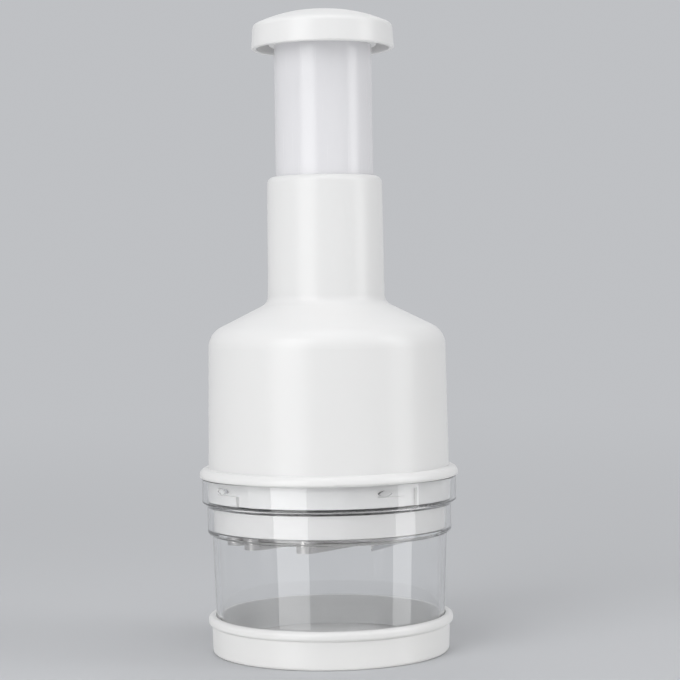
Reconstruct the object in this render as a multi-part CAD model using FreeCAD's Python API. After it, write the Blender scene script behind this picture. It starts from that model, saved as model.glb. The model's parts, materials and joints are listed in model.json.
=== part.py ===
"""Plunger food chopper, in millimetres, +Z up.

The origin is the centre of the cup's underside, and the front faces -Y.
A palm presses the knob, a zigzag blade goes down through a slotted disc to the floor of the cup,
and a coil spring lifts it again. A twisted bar in a ratchet nut turns the blade at each stroke.
"""

import FreeCAD, Part
import math
import os

Vector = FreeCAD.Vector
UP = Vector(0, 0, 1)

# Roundings of moulded and turned edges
fine_edge = 0.3
edge = 0.4
soft_edge = 0.6
round_edge = 0.8

# How far a cutting tool runs past the face that it cuts
cut_margin = 1.0

# Straight sides round a spring's wire, and straight steps in each of its turns
wire_sides = 8
coil_steps = 16

# Cup
floor_thickness = 3.0
cup_height = 13.8
cup_wall = 1.5
cup_bead_height = 3.4
cup_bead_reach = 1.25
cup_bead_rounding = 1.2
cup_bead_crown = 1.6
cup_base_rounding = 1.2
cup_clearance = 0.3

# Clear chamber, from its foot up
collar_radius = 46.8
chamber_wall = 1.8
collar_step = 1.9
ledge_width = 1.65
chamber_draft = 1.55
chamber_depth = 40.8
lower_collar_height = 10.3
collar_step_height = 1.5
upper_collar_height = 8.8
collar_rounding = 1.1

# Bayonet between collar and skirt
lug_width = 5.0
lug_height = 2.0
lug_twist = 14.0
lug_pair_angle = 82.0
lug_phase = -42.5
slot_bridge = 3.7
slot_floor_wall = 0.6
lug_clearance = 0.3

# Housing shell
skirt_clearance = 0.4
skirt_wall = 1.9
skirt_gap = 0.4
flange_overhang = 0.7
flange_height = 3.6
flange_rounding = 2.6
upstand_height = 4.0
upstand_wall = 1.3
upstand_clearance = 0.1
bell_inset = 0.3
bell_draft = 0.8
bell_height = 52.8
bell_wall = 2.2
shoulder_angle = 26.4
shoulder_rounding = 8.5
neck_fillet = 4.0
neck_length = 45.9
neck_draft = 0.4
neck_wall = 1.45
neck_rounding = 2.5
neck_lip = 1.2

# Wiper disc
wiper_clearance = 0.4
wiper_rim_wall = 1.4
wiper_web = 2.0
wiper_gap = 1.3
slot_clearance = 0.5

# Zigzag blade
blade_margin = 1.9
blade_thickness = 0.9
blade_bend_radius = 3.5
blade_bend_offsets = [25.0, 9.6, 12.0]
blade_end_offset = 29.1
blade_end_inset = 2.0
blade_drop = 5.3
blade_bevel = 1.8
blade_edge_width = 0.15
blade_insert = 1.6
blade_rest_angle = -30.0
edge_clearance = 0.3

# Blade hub
hub_gap = 1.0
hub_grip = 3.0
hub_grip_wall = 2.0
hub_plate = 3.0
hub_rim_wall = 1.6
hub_rib_height = 2.5
hub_rib_wall = 1.8
hub_rib_count = 6
hub_overhang = 1.5
hub_core_radius = 13.0

# Spindle and its drive
index_angle = 60.0
spindle_flange_radius = 12.0
spindle_flange = 2.0
spindle_collar_radius = 5.0
spindle_across_flats = 7.0
spindle_shank_radius = 3.3
spindle_journal_radius = 2.5
spindle_play = 0.2
bar_clearance = 0.3
bar_overrun = 3.0
bar_step_angle = 15.0
hub_screw_circle = 9.0
hub_screw_angle = 56.8
hub_screw_turn = -12.0
hub_screw_length = 6.0
screw_head_height = 1.6
screw_head_radius = 2.5
screw_radius = 1.4
screw_dome_share = 0.3
screw_recess_share = 1.1

# Spring plate with its nut turret
plate_gap = 2.6
plate_clearance = 0.3
plate_thickness = 2.5
plate_screw_count = 4
plate_screw_circle = 33.5
plate_screw_length = 11.0
plate_rib_height = 3.0
plate_rib_wall = 2.0
plate_rib_count = 8
boss_radius = 3.6
turret_radius = 11.0
turret_wall = 1.9
spindle_hole_gap = 0.6
ratchet_teeth = 12
ratchet_base = 0.8
tooth_height = 1.1
tooth_width = 3.0
tooth_play = 0.3
tooth_margin = 0.2
nut_clearance = 0.3
nut_height = 6.5
nut_spring_wire = 0.9
nut_spring_height = 4.0
nut_spring_turns = 2
nut_cap_height = 2.0
bumper_height = 2.0
bumper_wall = 2.8

# Stem and knob
stem_radius = 17.9
stem_wall = 1.8
stem_clearance = 0.3
shaft_clearance = 0.08
stop_gap = 0.3
stop_ring_lift = 0.8
stop_ring_height = 3.2
stop_ring_groove = 0.7
stop_ring_split = 2.0
finger_gap = 9.7
knob_radius = 26.2
knob_flare = 0.6
knob_height = 14.2
knob_dome = 5.4
knob_rounding = 2.0
crown_share = 0.85
knob_wall = 1.8
knob_roof = 2.3
knob_socket_wall = 1.8
knob_socket_depth = 5.2
plug_length = 14.0
plug_floor = 4.0
plug_wall = 2.5
bush_wall = 1.6
bush_flange = 2.3
bush_flange_height = 1.0
washer_radius = 6.0
washer_height = 1.0
end_screw_head_radius = 4.0
end_screw_head_height = 2.6
end_screw_length = 10.0

# Return spring
spring_wire = 1.5
spring_radius = 13.2
spring_turns = 15
spring_end_gap = 0.3

# Radii that follow from the sizes above
collar_bore = collar_radius - chamber_wall
skirt_radius = collar_bore - skirt_clearance
skirt_bore = skirt_radius - skirt_wall
slot_floor_radius = skirt_bore + slot_floor_wall
flange_radius = collar_radius + flange_overhang
bell_foot_radius = skirt_radius - bell_inset
bell_top_radius = bell_foot_radius - bell_draft
lower_collar_radius = collar_radius - collar_step
lower_collar_bore = lower_collar_radius - chamber_wall
chamber_top_radius = lower_collar_radius - ledge_width
chamber_foot_radius = chamber_top_radius - chamber_draft
chamber_foot_bore = chamber_foot_radius - chamber_wall
wiper_radius = lower_collar_bore - wiper_clearance
blade_reach = chamber_foot_bore - blade_margin
hub_radius = blade_reach + hub_overhang
neck_guide = stem_radius + stem_clearance
neck_bore = neck_guide + neck_wall
neck_radius = neck_bore + neck_wall
plug_radius = stem_radius - stem_wall
turret_bore = turret_radius - turret_wall
bend_line_radius = blade_bend_radius - blade_thickness / 2
spindle_hole = spindle_across_flats / math.sqrt(2) + spindle_hole_gap
nut_spring_radius = (turret_bore + spindle_hole) / 2

slot_height = lug_height + 2 * lug_clearance

# Heights that follow from the sizes above
z_floor = floor_thickness
z_collar = z_floor + chamber_depth
z_ledge = z_collar + chamber_wall
z_step = z_collar + lower_collar_height
z_seat = z_step + collar_step_height + upper_collar_height
z_inner_step = z_step + chamber_wall
z_skirt = z_inner_step + skirt_gap
z_wiper_top = z_skirt - wiper_gap
z_web = z_ledge + wiper_web
z_edge = z_ledge - blade_drop
stroke = z_edge - z_floor - edge_clearance
z_hub = z_web + hub_gap + stroke
z_hub_plate = z_hub + hub_grip
z_hub_top = z_hub_plate + hub_plate
z_spindle_top_of_flange = z_hub_top + spindle_flange
z_plate = z_spindle_top_of_flange + screw_head_height + plate_gap
z_plate_top = z_plate + plate_thickness
z_stem_foot = z_plate_top + bumper_height + stop_gap + stroke
z_stop_ring = z_stem_foot + stop_ring_lift
z_bush = z_stop_ring + stop_ring_height + stop_gap
z_flange = z_seat + flange_height
z_upstand = z_flange + upstand_height
z_shoulder = z_seat + bell_height
z_neck_foot = z_shoulder + (bell_top_radius - neck_radius) * math.tan(math.radians(shoulder_angle))
z_neck_top = z_neck_foot + neck_length
z_knob = z_neck_top + stroke + finger_gap
z_knob_top = z_knob + knob_height
z_stem_top = z_knob_top - knob_dome - knob_roof
z_plug = z_stem_top - plug_length
z_plug_floor = z_plug + plug_floor
z_teeth = z_plate_top + ratchet_base
z_nut = z_teeth + tooth_height + tooth_play
z_nut_top = z_nut + nut_height
z_turret = z_nut_top + nut_spring_height
z_bar_end = z_nut_top + stroke + bar_overrun
z_journal_end = z_plug_floor + bush_flange_height + spindle_play

twist_per_mm = -index_angle / stroke


def outline(corners):
    """A closed wire in the XZ plane through (radius, height, rounding) corners."""
    count = len(corners)
    points = [Vector(r, 0, z) for r, z, rounding in corners]
    edges = []
    last = None
    first = None
    for i in range(count):
        here = points[i]
        back = (points[i - 1] - here).normalize()
        ahead = (points[(i + 1) % count] - here).normalize()
        rounding = corners[i][2]
        start = here
        end = here
        if rounding > 0:
            half = back.getAngle(ahead) / 2
            trim = rounding / math.tan(half)
            start = here + back * trim
            end = here + ahead * trim
            middle = (back + ahead).normalize()
            centre = here + middle * (rounding / math.sin(half))
            top = centre - middle * rounding
        if last is not None:
            edges.append(Part.LineSegment(last, start).toShape())
        if rounding > 0:
            edges.append(Part.Arc(start, top, end).toShape())
        if first is None:
            first = start
        last = end
    if (last - first).Length > 1e-6:
        edges.append(Part.LineSegment(last, first).toShape())
    return Part.Wire(edges)


def turned(corners):
    """The solid that an outline of (radius, height, rounding) corners sweeps about the Z axis."""
    return Part.Face(outline(corners)).revolve(Vector(0, 0, 0), UP, 360)


def ring(inner, outer, low, high):
    """A plain ring or disc about the Z axis."""
    body = Part.makeCylinder(outer, high - low, Vector(0, 0, low))
    if inner <= 0:
        return body
    return body.cut(Part.makeCylinder(inner, high - low, Vector(0, 0, low)))


def around(shape, count, start=0.0):
    """Copies of a shape, evenly spaced about the Z axis."""
    copies = []
    for i in range(count):
        one = shape.copy()
        one.rotate(Vector(0, 0, 0), UP, start + 360.0 * i / count)
        copies.append(one)
    return copies


def screw(head_radius, head_height, shank_radius, length):
    """A pan-head screw that points down from the origin, with a cross recess in its head."""
    dome = head_radius * screw_dome_share
    head = turned([(0, 0, 0), (head_radius, 0, 0), (head_radius, head_height, dome), (0, head_height, 0)])
    recess_depth = head_height / 2
    recess_width = head_radius / 3
    reach = head_radius * screw_recess_share
    for angle in (0, 90):
        corner = Vector(-reach / 2, -recess_width / 2, recess_depth)
        bar = Part.makeBox(reach, recess_width, recess_depth, corner)
        bar.rotate(Vector(0, 0, 0), UP, angle)
        head = head.cut(bar)
    return head.fuse(Part.makeCylinder(shank_radius, length, Vector(0, 0, -length))).removeSplitter()


def coil(radius, wire, low, high, turns):
    """A coil spring between two heights: a straight-sided loft through wire sections set round a helix."""
    rise = high - low - wire
    section = [Vector(radius + wire / 2 * math.cos(2 * math.pi * k / wire_sides), 0,
                      wire / 2 * math.sin(2 * math.pi * k / wire_sides)) for k in range(wire_sides)]
    steps = turns * coil_steps
    stations = []
    for i in range(steps + 1):
        station = Part.makePolygon(section + section[:1])
        station.rotate(Vector(0, 0, 0), UP, 360.0 * i / coil_steps)
        station.translate(UP * (low + wire / 2 + rise * i / steps))
        stations.append(station)
    return Part.makeLoft(stations, True, True)


def twisted_bar(across_flats, low, high):
    """A square bar whose section turns steadily with height, at the same pitch wherever it is cut."""
    half = across_flats / 2
    sections = []
    steps = max(2, math.ceil(abs(twist_per_mm) * (high - low) / bar_step_angle))
    for i in range(steps + 1):
        z = low + (high - low) * i / steps
        square = Part.makePolygon([
            Vector(half, half, z), Vector(-half, half, z), Vector(-half, -half, z),
            Vector(half, -half, z), Vector(half, half, z)])
        square.rotate(Vector(0, 0, 0), UP, twist_per_mm * z)
        sections.append(square)
    return Part.makeLoft(sections, True, False)


def zigzag_route():
    """Stops of the blade's middle line, as (point, bend radius, side) from one free end to the other."""
    centre_circle = blade_reach - blade_bend_radius
    end_circle = blade_reach - blade_end_inset
    end_along = math.sqrt(end_circle ** 2 - blade_end_offset ** 2)
    half = [(Vector(blade_end_offset, -end_along, 0), 0.0)]
    far = 1
    for offset in blade_bend_offsets:
        along = math.sqrt(centre_circle ** 2 - offset ** 2)
        half.append((Vector(offset, far * along, 0), bend_line_radius * far))
        far = -far
    mirrored = [(Vector(-p.x, -p.y, 0), -bend) for p, bend in reversed(half)]
    return half + mirrored


def ribbon(section, longer=0.0):
    """A strip along the zigzag. The section is (sideways, height) corners, and longer lengthens its ends."""
    stops = zigzag_route()
    legs = []
    for (start, start_bend), (end, end_bend) in zip(stops, stops[1:]):
        line = end - start
        lean = -math.asin((end_bend - start_bend) / line.Length)
        heading = math.atan2(line.y, line.x) + lean
        along = Vector(math.cos(heading), math.sin(heading), 0)
        left = Vector(-along.y, along.x, 0)
        leave = start - left * start_bend
        arrive = end - left * end_bend
        if start_bend == 0:
            leave = leave - along * longer
        if end_bend == 0:
            arrive = arrive + along * longer
        legs.append((leave, arrive, along, left))
    pieces = []
    for (leave, arrive, along, left) in legs:
        corners = [leave + left * s + UP * z for s, z in section]
        face = Part.Face(Part.makePolygon(corners + corners[:1]))
        pieces.append(face.extrude(arrive - leave))
    for i in range(1, len(legs)):
        leave, arrive, along, left = legs[i - 1]
        centre, bend = stops[i]
        corners = [arrive + left * s + UP * z for s, z in section]
        face = Part.Face(Part.makePolygon(corners + corners[:1]))
        turn = math.degrees(along.getAngle(legs[i][2]))
        pieces.append(face.revolve(centre, UP, math.copysign(turn, bend)))
    strip = pieces[0].multiFuse(pieces[1:]).removeSplitter()
    strip.rotate(Vector(0, 0, 0), UP, blade_rest_angle)
    return strip


def plain_ribbon(half_width, low, high, longer=0.0):
    """A zigzag wall of even thickness."""
    section = [(-half_width, low), (half_width, low), (half_width, high), (-half_width, high)]
    return ribbon(section, longer)


def chamber_outside(z):
    """Outer radius of the clear wall at a height."""
    return chamber_foot_radius + chamber_draft * (z - z_floor) / chamber_depth


def bell_outside(z):
    """Outer radius of the bell at a height."""
    return bell_foot_radius - bell_draft * (z - z_seat) / bell_height


def cone_height(radius, inset=0.0):
    """Height of the housing's conical shoulder at a radius, or of its inside when inset by the wall."""
    slope = math.radians(shoulder_angle)
    return z_shoulder + (bell_top_radius - radius) * math.tan(slope) - inset / math.cos(slope)


def lug_angles():
    """Where the four slots are entered, counted from the front towards +X."""
    pair = [lug_phase, lug_phase + lug_pair_angle]
    return pair + [angle + 180.0 for angle in pair]


def base_cup():
    """The white cup, with a round bead at its rim. The chamber's foot stands on its floor."""
    z_bead = cup_height - cup_bead_height
    body_top = chamber_outside(z_bead) + cup_clearance + cup_wall
    bead = body_top + cup_bead_reach
    return turned([
        (0, 0, 0),
        (chamber_foot_radius + cup_clearance + cup_wall, 0, cup_base_rounding),
        (body_top, z_bead, edge),
        (bead, z_bead, cup_bead_rounding),
        (bead, cup_height, cup_bead_crown),
        (chamber_outside(cup_height) + cup_clearance, cup_height, fine_edge),
        (chamber_foot_radius + cup_clearance, z_floor, 0),
        (0, z_floor, 0)])


def chopping_chamber():
    """The clear wall with its stepped collar, open at both ends, and four lens-shaped lugs inside."""
    body = turned([
        (chamber_foot_bore, z_floor, edge),
        (chamber_foot_radius, z_floor, edge),
        (chamber_top_radius, z_collar, edge),
        (lower_collar_radius, z_collar, collar_rounding),
        (lower_collar_radius, z_step, edge),
        (collar_radius, z_step + collar_step_height, edge),
        (collar_radius, z_seat, edge),
        (collar_bore, z_seat, edge),
        (collar_bore, z_inner_step, 0),
        (lower_collar_bore, z_inner_step, edge),
        (lower_collar_bore, z_ledge, 0),
        (chamber_top_radius - chamber_wall, z_ledge, edge)])
    middle = z_skirt + slot_bridge + lug_clearance + lug_height / 2
    left = Vector(-lug_width / 2, 0, middle)
    right = Vector(lug_width / 2, 0, middle)
    lens = Part.Wire([
        Part.Arc(left, Vector(0, 0, middle + lug_height / 2), right).toShape(),
        Part.Arc(right, Vector(0, 0, middle - lug_height / 2), left).toShape()])
    root = collar_bore + chamber_wall / 2
    lug = Part.Face(lens).extrude(Vector(0, root - slot_floor_radius - lug_clearance, 0))
    lug.translate(Vector(0, -root, 0))
    lugs = []
    for angle in lug_angles():
        one = lug.copy()
        one.rotate(Vector(0, 0, 0), UP, angle - lug_twist)
        lugs.append(one)
    return body.multiFuse(lugs).removeSplitter()


def housing():
    """The bottle-shaped shell: neck, conical shoulder and bell, with bosses for the spring plate."""
    neck_top_radius = neck_radius
    neck_foot_radius = neck_radius + neck_draft
    outside = [
        (bell_outside(z_flange), z_flange, 0),
        (bell_top_radius, z_shoulder, shoulder_rounding),
        (neck_foot_radius, cone_height(neck_foot_radius), neck_fillet),
        (neck_top_radius, z_neck_top, neck_rounding)]
    bell_bore_top = bell_top_radius - bell_wall
    inside = [
        (neck_guide, z_neck_top, fine_edge),
        (neck_guide, z_neck_top - neck_lip, 0),
        (neck_bore, z_neck_top - neck_lip, 0),
        (neck_bore, cone_height(neck_bore, bell_wall), round_edge),
        (bell_bore_top, cone_height(bell_bore_top, bell_wall), shoulder_rounding - bell_wall),
        (bell_outside(z_flange) - bell_wall, z_flange, 0)]
    shell = turned(outside + inside)
    filled = turned([(0, z_flange, 0)] + outside + [(0, z_neck_top, 0)])

    boss_foot = Vector(plate_screw_circle, 0, z_plate_top)
    boss = Part.makeCylinder(boss_radius, z_neck_foot - z_plate_top, boss_foot)
    reach = flange_radius - plate_screw_circle
    z_gusset = z_plate_top + plate_rib_height
    gusset = Part.makeBox(
        reach, plate_rib_wall, z_neck_foot - z_gusset,
        Vector(plate_screw_circle, -plate_rib_wall / 2, z_gusset))
    boss = boss.fuse(gusset).common(filled)
    hole = Part.makeCylinder(screw_radius, plate_screw_length, Vector(plate_screw_circle, 0, z_plate_top))
    start = 180.0 / plate_screw_count
    shell = shell.multiFuse(around(boss, plate_screw_count, start)).removeSplitter()
    return shell.cut(Part.makeCompound(around(hole, plate_screw_count, start)))


def bayonet_ring():
    """The ring under the bell: upstand, flange, and a skirt with blind bayonet slots."""
    upstand = bell_outside(z_flange) - bell_wall - upstand_clearance
    body = turned([
        (skirt_radius, z_skirt, edge),
        (skirt_radius, z_seat, 0),
        (flange_radius, z_seat, round_edge),
        (flange_radius, z_flange, flange_rounding),
        (upstand, z_flange, 0),
        (upstand, z_upstand, edge),
        (upstand - upstand_wall, z_upstand, edge),
        (upstand - upstand_wall, z_seat, round_edge),
        (skirt_bore, z_seat, 0),
        (skirt_bore, z_skirt, fine_edge)])
    z_slot = z_skirt + slot_bridge
    half_lug = lug_width / 2 + lug_clearance
    depth = skirt_radius - slot_floor_radius + lug_clearance
    entry = Part.makeBox(
        2 * half_lug, depth, z_slot + slot_height - z_skirt + cut_margin,
        Vector(-half_lug, -skirt_radius - lug_clearance, z_skirt - cut_margin))
    band = Part.makePolygon([
        Vector(0, -skirt_radius - lug_clearance, z_slot),
        Vector(0, -slot_floor_radius, z_slot),
        Vector(0, -slot_floor_radius, z_slot + slot_height),
        Vector(0, -skirt_radius - lug_clearance, z_slot + slot_height),
        Vector(0, -skirt_radius - lug_clearance, z_slot)])
    sweep = lug_twist + math.degrees(half_lug / skirt_radius)
    way = Part.Face(band).revolve(Vector(0, 0, 0), UP, -sweep)
    slot = entry.fuse(way)
    slots = []
    for angle in lug_angles():
        one = slot.copy()
        one.rotate(Vector(0, 0, 0), UP, angle)
        slots.append(one)
    return body.cut(Part.makeCompound(slots))


def neck_bush():
    """The guide sleeve in the neck. Its lower end is the stop that the stem's ring meets."""
    return turned([
        (neck_guide, z_bush, fine_edge),
        (neck_bore, z_bush, 0),
        (neck_bore, z_neck_top - neck_lip, 0),
        (neck_guide, z_neck_top - neck_lip, 0)])


def spring_plate():
    """The plate across the bell, with a turret for the nut, ribs and screw holes."""
    radius = bell_outside(z_plate_top) - bell_wall - plate_clearance
    plate = turned([
        (spindle_hole, z_plate, 0),
        (radius, z_plate, edge),
        (radius, z_plate_top, edge),
        (turret_radius, z_plate_top, round_edge),
        (turret_radius, z_turret, 0),
        (turret_bore, z_turret, 0),
        (turret_bore, z_plate_top, 0),
        (spindle_hole, z_plate_top, 0)])
    rib_start = stem_radius + bumper_wall
    rib_end = radius - plate_rib_wall
    rib = Part.makeBox(
        rib_end - rib_start, plate_rib_wall, plate_rib_height,
        Vector(rib_start, -plate_rib_wall / 2, z_plate_top))
    plate = plate.multiFuse(around(rib, plate_rib_count, 180.0 / plate_rib_count)).removeSplitter()
    hole = Part.makeCylinder(screw_radius, plate_thickness, Vector(plate_screw_circle, 0, z_plate))
    return plate.cut(Part.makeCompound(around(hole, plate_screw_count, 180.0 / plate_screw_count)))


def plate_screws():
    """The screws that hold the plate on the housing's bosses, heads down."""
    one = screw(screw_head_radius, screw_head_height, screw_radius, plate_screw_length)
    one.rotate(Vector(0, 0, 0), Vector(1, 0, 0), 180)
    one.translate(Vector(plate_screw_circle, 0, z_plate))
    return Part.makeCompound(around(one, plate_screw_count, 180.0 / plate_screw_count))


def bumper_ring():
    """The soft ring that the stem's foot comes down to."""
    outer = stem_radius + stem_clearance
    inner = outer - bumper_wall
    top = z_plate_top + bumper_height
    return turned([
        (inner, z_plate_top, 0), (outer, z_plate_top, 0),
        (outer, top, soft_edge), (inner, top, soft_edge)])


def tooth(corners, inner, outer):
    """A tooth whose section is (sideways, height) corners, between two radii."""
    points = [Vector(inner, s, z) for s, z in corners]
    bar = Part.Face(Part.makePolygon(points + points[:1])).extrude(Vector(outer - inner, 0, 0))
    heights = [z for s, z in corners]
    return bar.common(ring(0, outer, min(heights), max(heights)))


def ratchet_ring():
    """The toothed ring in the turret's floor. Its steep flanks hold the nut on the way down."""
    inner = spindle_hole + spindle_hole_gap / 2
    body = ring(inner, turret_bore, z_plate_top, z_teeth)
    one = tooth(
        [(0, z_teeth), (0, z_teeth + tooth_height), (-tooth_width, z_teeth)],
        inner + tooth_margin, turret_bore - nut_clearance)
    return body.multiFuse(around(one, ratchet_teeth)).removeSplitter()


def drive_nut():
    """The nut with a twisted square hole. Its teeth ride over the ratchet's on the way up."""
    inner = spindle_hole + spindle_hole_gap / 2
    outer = turret_bore - nut_clearance
    body = ring(0, outer, z_nut, z_nut_top)
    high = z_teeth + tooth_play + tooth_height
    one = tooth(
        [(-tooth_width, z_teeth + tooth_play), (-tooth_width, high), (-tooth_margin, high)],
        inner + tooth_margin, outer - tooth_margin)
    body = body.multiFuse(around(one, ratchet_teeth)).removeSplitter()
    hole = twisted_bar(spindle_across_flats + 2 * bar_clearance, z_nut - cut_margin, z_nut_top + cut_margin)
    return body.cut(hole)


def nut_spring():
    """The small coil that keeps the nut down in the ratchet."""
    return coil(nut_spring_radius, nut_spring_wire, z_nut_top, z_turret, nut_spring_turns)


def nut_cap():
    """The lid of the turret, with a spigot that centres it."""
    spigot = nut_spring_radius + nut_spring_wire / 2 + nut_clearance
    z_spigot = z_turret - nut_spring_height / 3
    return turned([
        (spindle_hole, z_turret, 0),
        (spigot, z_turret, 0),
        (spigot, z_spigot, 0),
        (turret_bore, z_spigot, 0),
        (turret_bore, z_turret, 0),
        (turret_radius, z_turret, 0),
        (turret_radius, z_turret + nut_cap_height, edge),
        (spindle_hole, z_turret + nut_cap_height, fine_edge)])


def return_spring():
    """The coil that lifts the plunger, round the turret and inside the stem."""
    return coil(spring_radius, spring_wire, z_plate_top, z_plug - spring_end_gap, spring_turns)


def stem_tube():
    """The tube that slides in the neck, with a groove for its stop ring."""
    groove = stem_radius - stop_ring_groove
    return turned([
        (plug_radius, z_stem_foot, fine_edge),
        (stem_radius, z_stem_foot, fine_edge),
        (stem_radius, z_stop_ring, 0),
        (groove, z_stop_ring, 0),
        (groove, z_stop_ring + stop_ring_height, 0),
        (stem_radius, z_stop_ring + stop_ring_height, 0),
        (stem_radius, z_stem_top, fine_edge),
        (plug_radius, z_stem_top, 0)])


def stop_ring():
    """The split ring that snaps into the stem's groove and catches under the neck's bush."""
    body = turned([
        (stem_radius - stop_ring_groove, z_stop_ring, 0),
        (neck_bore - stem_clearance, z_stop_ring, edge),
        (neck_bore - stem_clearance, z_stop_ring + stop_ring_height, 0),
        (stem_radius - stop_ring_groove, z_stop_ring + stop_ring_height, 0)])
    split = Part.makeBox(
        neck_bore, stop_ring_split, stop_ring_height,
        Vector(0, -stop_ring_split / 2, z_stop_ring))
    return body.cut(split)


def stem_plug():
    """The cup-shaped plug in the stem's top. The spring pushes on it, and the spindle hangs in it."""
    hole = spindle_journal_radius + shaft_clearance + bush_wall
    return turned([
        (hole, z_plug, 0),
        (plug_radius, z_plug, edge),
        (plug_radius, z_stem_top, 0),
        (plug_radius - plug_wall, z_stem_top, 0),
        (plug_radius - plug_wall, z_plug_floor, round_edge),
        (hole, z_plug_floor, 0)])


def spindle_bush():
    """The flanged bush that the spindle's journal turns in."""
    bore = spindle_journal_radius + shaft_clearance
    body = bore + bush_wall
    top = z_plug_floor + bush_flange_height
    return turned([
        (bore, z_plug, 0),
        (body, z_plug, 0),
        (body, z_plug_floor, 0),
        (body + bush_flange, z_plug_floor, 0),
        (body + bush_flange, top, fine_edge),
        (bore, top, fine_edge)])


def spindle_washer():
    """The washer that carries the spindle on the bush."""
    return ring(screw_radius, washer_radius, z_journal_end, z_journal_end + washer_height)


def spindle_screw():
    """The screw in the spindle's top end."""
    one = screw(end_screw_head_radius, end_screw_head_height, screw_radius, end_screw_length)
    one.translate(Vector(0, 0, z_journal_end + washer_height))
    return one


def crown_rounding(half, rise):
    """The rounding that turns a flat top of half the width and a straight slope into one low dome."""
    return crown_share * half / math.tan(math.atan(rise / half) / 2)


def knob_cap():
    """The domed press knob: a cap with an open underside, a socket over the stem and a hollow above it."""
    z_shoulder_edge = z_knob_top - knob_dome
    top_radius = knob_radius - knob_flare
    socket = stem_radius + knob_socket_wall
    z_socket = z_stem_top - knob_socket_depth
    hollow = plug_radius - plug_wall
    hollow_drop = knob_dome * (hollow / top_radius) ** 2
    z_hollow = z_knob_top - knob_roof
    return turned([
        (0, z_hollow, 0),
        (hollow / 2, z_hollow, crown_rounding(hollow / 2, hollow_drop)),
        (hollow, z_hollow - hollow_drop, soft_edge),
        (hollow, z_stem_top, fine_edge),
        (stem_radius, z_stem_top, 0),
        (stem_radius, z_socket, 0),
        (socket, z_socket, edge),
        (socket, z_stem_top, soft_edge),
        (top_radius - knob_wall, z_stem_top, round_edge),
        (knob_radius - knob_wall, z_knob, edge),
        (knob_radius, z_knob, soft_edge),
        (top_radius, z_shoulder_edge, knob_rounding),
        (top_radius / 2, z_knob_top, crown_rounding(top_radius / 2, knob_dome)),
        (0, z_knob_top, 0)])


def screw_places():
    """Where the hub's screws stand, between the blade's legs."""
    turned_by = hub_screw_turn + blade_rest_angle
    angles = [hub_screw_angle, 180.0 - hub_screw_angle, 180.0 + hub_screw_angle, -hub_screw_angle]
    places = []
    for angle in angles:
        turn = math.radians(angle + turned_by)
        places.append(Vector(hub_screw_circle * math.cos(turn), hub_screw_circle * math.sin(turn), 0))
    return places


def spindle():
    """The steel bar: flange, collar, twisted square, round shank and journal."""
    body = turned([
        (0, z_hub_top, 0),
        (spindle_flange_radius, z_hub_top, 0),
        (spindle_flange_radius, z_spindle_top_of_flange, edge),
        (spindle_collar_radius, z_spindle_top_of_flange, edge),
        (spindle_collar_radius, z_plate, fine_edge),
        (spindle_journal_radius, z_plate, 0),
        (spindle_journal_radius, z_bar_end, 0),
        (spindle_shank_radius, z_bar_end, 0),
        (spindle_shank_radius, z_plug - spindle_play, fine_edge),
        (spindle_journal_radius, z_plug - spindle_play, 0),
        (spindle_journal_radius, z_journal_end, 0),
        (0, z_journal_end, 0)])
    bar = twisted_bar(spindle_across_flats, z_plate, z_bar_end)
    depth = end_screw_length - washer_height
    cuts = [Part.makeCylinder(screw_radius, depth, Vector(0, 0, z_journal_end - depth))]
    for place in screw_places():
        cuts.append(Part.makeCylinder(screw_radius, spindle_flange, place + UP * z_hub_top))
    return body.fuse(bar).cut(Part.makeCompound(cuts))


def hub_screws():
    """The screws that hold the spindle's flange on the hub."""
    screws = []
    for place in screw_places():
        one = screw(screw_head_radius, screw_head_height, screw_radius, hub_screw_length)
        one.translate(place + UP * z_spindle_top_of_flange)
        screws.append(one)
    return Part.makeCompound(screws)


def blade_hub():
    """The disc that grips the blade's top edge in a zigzag wall."""
    disc = turned([
        (0, z_hub_plate, 0),
        (hub_radius, z_hub_plate, edge),
        (hub_radius, z_hub_top + hub_rib_height, edge),
        (hub_radius - hub_rim_wall, z_hub_top + hub_rib_height, 0),
        (hub_radius - hub_rim_wall, z_hub_top, 0),
        (0, z_hub_top, 0)])
    grip_half = blade_thickness / 2 + hub_grip_wall
    grip = plain_ribbon(grip_half, z_hub, z_hub_plate).common(ring(0, hub_radius, z_hub, z_hub_plate))
    core = ring(0, hub_core_radius, z_hub, z_hub_plate)
    rib_start = spindle_flange_radius + hub_rim_wall / 2
    rib = Part.makeBox(
        hub_radius - hub_rim_wall - rib_start, hub_rib_wall, hub_rib_height,
        Vector(rib_start, -hub_rib_wall / 2, z_hub_top))
    body = disc.multiFuse([grip, core] + around(rib, hub_rib_count)).removeSplitter()
    cuts = [plain_ribbon(blade_thickness / 2, z_hub, z_hub_plate + blade_insert)]
    depth = hub_screw_length - spindle_flange
    for place in screw_places():
        cuts.append(Part.makeCylinder(screw_radius, depth, place + UP * (z_hub_top - depth)))
    return body.cut(Part.makeCompound(cuts))


def zigzag_blade():
    """One bent strip of steel, ground to an edge on one side."""
    half = blade_thickness / 2
    top = z_hub_plate + blade_insert
    return ribbon([
        (-half, z_edge),
        (blade_edge_width - half, z_edge),
        (half, z_edge + blade_bevel),
        (half, top),
        (-half, top)])


def wiper_disc():
    """The white dish on the chamber's ledge, with a zigzag slot that wipes the blade."""
    dish = turned([
        (0, z_ledge, 0),
        (wiper_radius, z_ledge, edge),
        (wiper_radius, z_wiper_top, edge),
        (wiper_radius - wiper_rim_wall, z_wiper_top, edge),
        (wiper_radius - wiper_rim_wall, z_web, edge),
        (0, z_web, 0)])
    slot = plain_ribbon(blade_thickness / 2 + slot_clearance, z_ledge, z_web, slot_clearance)
    return dish.cut(slot)


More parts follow.
